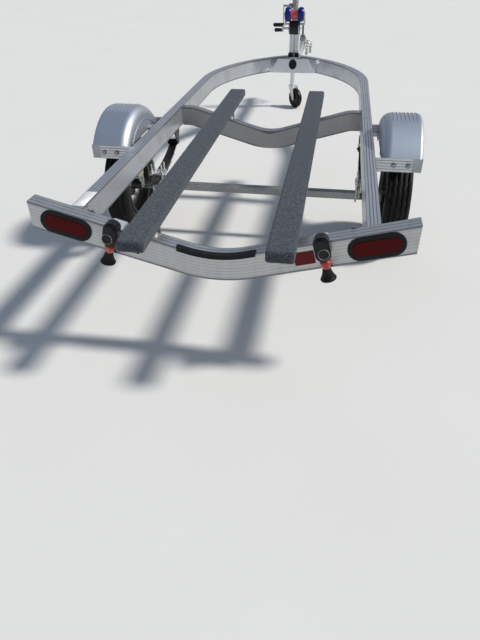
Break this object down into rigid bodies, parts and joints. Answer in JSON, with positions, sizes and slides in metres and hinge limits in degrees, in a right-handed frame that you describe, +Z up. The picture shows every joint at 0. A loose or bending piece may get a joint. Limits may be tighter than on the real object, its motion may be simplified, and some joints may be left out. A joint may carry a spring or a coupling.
{
  "type": "boat trailer",
  "caption": "Single-axle bunk boat trailer: aluminium channel frame with drop crossmembers, carpeted bunks, fenders, winch post, bow roller and wheeled tongue jack.",
  "frame": {"origin": "on the ground, below the middle of the overall box", "axes": "+Z up, +Y forward towards the coupler, +X to the trailer's right"},
  "size_m": [1.572, 4.31, 0.918],
  "materials": {
    "channel_aluminium": "mill",
    "zinc_steel": "galvanised",
    "dark_steel": "satin",
    "tyre_rubber": "matte",
    "black_rubber": "matte",
    "black_plastic": "satin",
    "bunk_carpet": "carpet",
    "red_lens": "gloss",
    "red_plastic": "gloss",
    "blue_plastic": "gloss",
    "strap_webbing": "woven",
    "wheel_paint": "satin",
    "fender_paint": "satin"
  },
  "bodies": {
    "trailer_frame": {"axle": "zinc_steel", "bow_bracket": "zinc_steel", "bunk_brackets": "zinc_steel", "bunk_left": "bunk_carpet", "bunk_right": "bunk_carpet", "corner_clips": "channel_aluminium", "coupler": "zinc_steel", "edge_trim": "black_rubber", "fender_arms": "channel_aluminium", "fender_left": "fender_paint", "fender_right": "fender_paint", "front_crossmember": "channel_aluminium", "jack_bracket": "zinc_steel", "jack_gearbox": "zinc_steel", "jack_tube": "zinc_steel", "lamp_grommets": "black_rubber", "lamp_lenses": "red_lens", "latch_ears": "zinc_steel", "leaf_springs": "dark_steel", "nose_plate": "channel_aluminium", "post_foot": "channel_aluminium", "post_pads": "black_plastic", "rail_left": "channel_aluminium", "rail_right": "channel_aluminium", "rear_crossmember": "channel_aluminium", "reflectors": "red_lens", "safety_chains": "zinc_steel", "spring_clamps": "zinc_steel", "spring_hangers": "zinc_steel", "spring_pins": "zinc_steel", "tie_down_bells": "black_rubber", "tie_down_housings": "black_plastic", "tie_down_knobs": "red_plastic", "tongue": "zinc_steel", "tongue_cap": "black_plastic", "winch_frame": "zinc_steel", "winch_post": "channel_aluminium"},
    "road_wheel_left": {"tyre_left": "tyre_rubber", "wheel_left": "wheel_paint", "hub_left": "zinc_steel"},
    "road_wheel_right": {"tyre_right": "tyre_rubber", "wheel_right": "wheel_paint", "hub_right": "zinc_steel"},
    "bow_roller": {"bow_roller_core": "red_plastic", "bow_roller_bells": "blue_plastic"},
    "winch_drum": {"winch_crank_drum": "zinc_steel", "winch_strap": "strap_webbing", "winch_grip": "black_plastic"},
    "latch": {"coupler_latch": "zinc_steel"},
    "jack_leg": {"jack_leg": "zinc_steel"},
    "jack_caster": {"jack_fork": "zinc_steel"},
    "jack_road_wheel": {"jack_wheel": "zinc_steel", "jack_tyre": "tyre_rubber"},
    "jack_handle": {"jack_crank": "zinc_steel", "jack_grip": "black_plastic"}
  },
  "joints": [
    {"name": "left_wheel_spin", "type": "hinge", "parent": "trailer_frame", "child": "road_wheel_left", "pos_m": [-0.712, -0.925, 0.26], "axis": [1, 0, 0], "continuous": true},
    {"name": "right_wheel_spin", "type": "hinge", "parent": "trailer_frame", "child": "road_wheel_right", "pos_m": [0.712, -0.925, 0.26], "axis": [1, 0, 0], "continuous": true},
    {"name": "bow_roller_spin", "type": "hinge", "parent": "trailer_frame", "child": "bow_roller", "pos_m": [0, 1.01521, 0.868], "axis": [1, 0, 0], "continuous": true},
    {"name": "winch_turn", "type": "hinge", "parent": "trailer_frame", "child": "winch_drum", "pos_m": [0, 1.02521, 0.772], "axis": [1, 0, 0], "continuous": true},
    {"name": "latch_lift", "type": "hinge", "parent": "trailer_frame", "child": "latch", "pos_m": [0, 2.051, 0.576], "axis": [-1, 0, 0], "range_deg": [-55, 25]},
    {"name": "jack_leg_slide", "type": "slide", "parent": "trailer_frame", "child": "jack_leg", "axis": [0, 0, 1], "range_m": [-0.1, 0.12]},
    {"name": "jack_caster_swivel", "type": "hinge", "parent": "jack_leg", "child": "jack_caster", "pos_m": [-0.062, 1.811, 0.19], "axis": [0, 0, 1], "continuous": true},
    {"name": "jack_wheel_spin", "type": "hinge", "parent": "jack_caster", "child": "jack_road_wheel", "pos_m": [-0.02343, 1.76504, 0.085], "axis": [0.766, 0.6428, 0], "continuous": true},
    {"name": "jack_handle_turn", "type": "hinge", "parent": "trailer_frame", "child": "jack_handle", "pos_m": [-0.1674, 1.811, 0.846], "axis": [1, 0, 0], "continuous": true}
  ]
}
